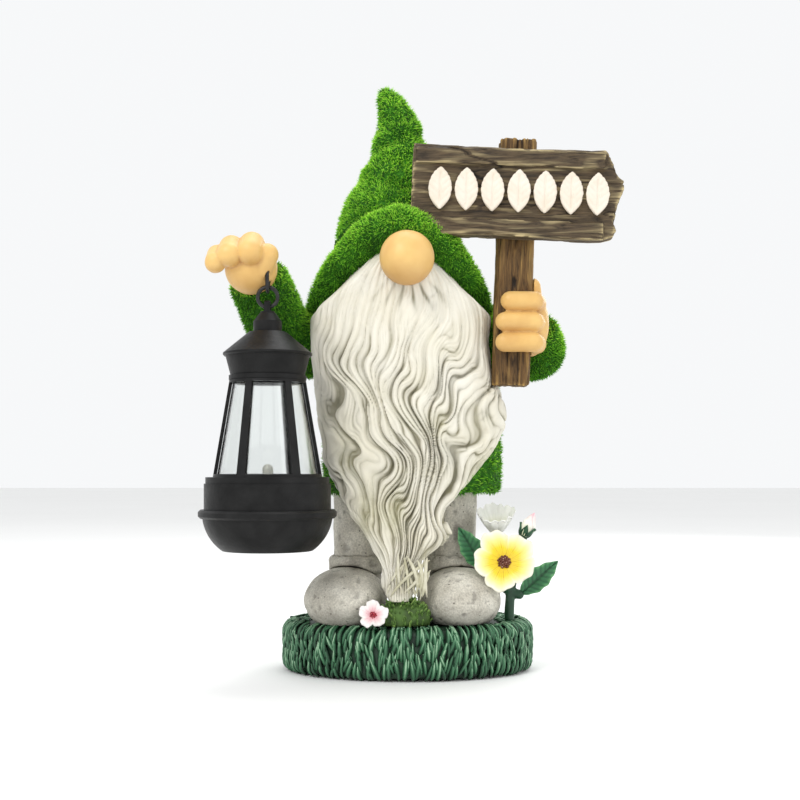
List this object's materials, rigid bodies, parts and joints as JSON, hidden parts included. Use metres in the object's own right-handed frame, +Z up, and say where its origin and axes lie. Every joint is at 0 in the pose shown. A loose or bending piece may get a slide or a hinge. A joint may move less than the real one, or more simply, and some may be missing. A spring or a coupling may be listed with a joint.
{
  "type": "garden gnome",
  "caption": "Cast-resin garden gnome on a grass base, bearded and capped, holding a carved sign in one hand and a small hanging lantern in the other.",
  "frame": {"origin": "middle of the flat underside of the grass base", "axes": "+Z up; the figure faces -Y; the lantern is on its -X side and the sign on its +X side"},
  "size_m": [0.1994, 0.119, 0.292],
  "materials": {
    "painted_grass": "hand-painted cast resin, carved grass, matt",
    "turf_flock": "short green flocking on cast resin",
    "beard_paint": "hand-painted cast resin, carved strands with a grey-brown wash",
    "skin_paint": "hand-painted cast resin, satin",
    "cast_resin": "unpainted cast resin",
    "speckled_stone": "stone-look paint on cast resin, pitted and speckled",
    "carved_wood_paint": "hand-painted cast resin, carved wood grain, dry-brushed",
    "cream_paint": "hand-painted cast resin, matt cream",
    "petal_paint": "hand-painted cast resin, white and yellow",
    "blossom_paint": "hand-painted cast resin, white and rose",
    "flower_heart_paint": "hand-painted cast resin",
    "blossom_heart_paint": "hand-painted cast resin",
    "leaf_paint": "hand-painted cast resin, dark green",
    "steel_wire": "plain drawn steel",
    "black_wire": "black coated wire",
    "black_plastic": "moulded plastic, satin black",
    "black_plastic_matte": "moulded plastic, black",
    "clear_plastic": "clear moulded pane",
    "lamp_lens": "warm white diode lens",
    "circuit_green": "fibreglass circuit board",
    "cell_steel": "nickel-plated steel"
  },
  "bodies": {
    "figure": {"beard": "beard_paint", "boot_left": "speckled_stone", "boot_right": "speckled_stone", "bud_calyx": "leaf_paint", "coat": "turf_flock", "cuff_left": "speckled_stone", "cuff_right": "speckled_stone", "cup_flower_petals": "petal_paint", "flower_bud": "blossom_paint", "flower_stems": "leaf_paint", "grass_base": "painted_grass", "grass_tuft": "painted_grass", "hand_hook": "black_wire", "hand_left": "skin_paint", "hand_right": "skin_paint", "hat": "turf_flock", "hat_brim": "turf_flock", "head": "cast_resin", "leaf_left": "leaf_paint", "leaf_right": "leaf_paint", "leg_left": "speckled_stone", "leg_right": "speckled_stone", "leg_rod_left": "steel_wire", "leg_rod_right": "steel_wire", "main_flower_heart": "flower_heart_paint", "main_flower_petals": "petal_paint", "neck_dowel": "steel_wire", "nose": "skin_paint", "nose_peg": "steel_wire", "shoulder_dowel_left": "steel_wire", "shoulder_dowel_right": "steel_wire", "sign_board": "carved_wood_paint", "sign_ornaments": "cream_paint", "sign_pegs": "steel_wire", "sign_post": "carved_wood_paint", "sleeve_left": "turf_flock", "sleeve_right": "turf_flock", "small_blossom_heart": "blossom_heart_paint", "small_blossom_petals": "blossom_paint"},
    "hanger_ring": {"hanger_ring": "black_wire"},
    "lantern": {"lower_bowl": "black_plastic", "base_band": "black_plastic", "deck": "black_plastic", "housing_screws": "cell_steel", "lantern_pane": "clear_plastic", "post_cage": "black_plastic", "collar": "black_plastic", "roof": "black_plastic", "knob": "black_plastic", "knob_clip": "steel_wire", "lamp": "lamp_lens", "circuit_board": "circuit_green", "battery_tray": "black_plastic", "button_cells": "cell_steel", "battery_contact": "cell_steel", "battery_spring": "cell_steel", "switch_case_body": "black_plastic"},
    "battery_door": {"battery_door": "black_plastic"},
    "switch_slider": {"switch_slider": "black_plastic_matte"}
  },
  "joints": [
    {"name": "ring_swing", "type": "hinge", "parent": "figure", "child": "hanger_ring", "pos_m": [-0.0651, -0.044, 0.18375], "axis": [1, 0, 0], "range_deg": [-35, 3]},
    {"name": "lantern_sway", "type": "hinge", "parent": "hanger_ring", "child": "lantern", "pos_m": [-0.0651, -0.044, 0.17915], "axis": [0, 1, 0], "range_deg": [-2, 25]},
    {"name": "battery_door_hinge", "type": "hinge", "parent": "lantern", "child": "battery_door", "pos_m": [-0.0718, -0.044, 0.06298], "axis": [0, 1, 0], "range_deg": [0, 80]},
    {"name": "switch_slide", "type": "slide", "parent": "lantern", "child": "switch_slider", "axis": [0, 1, 0], "range_m": [0, 0.003]}
  ]
}
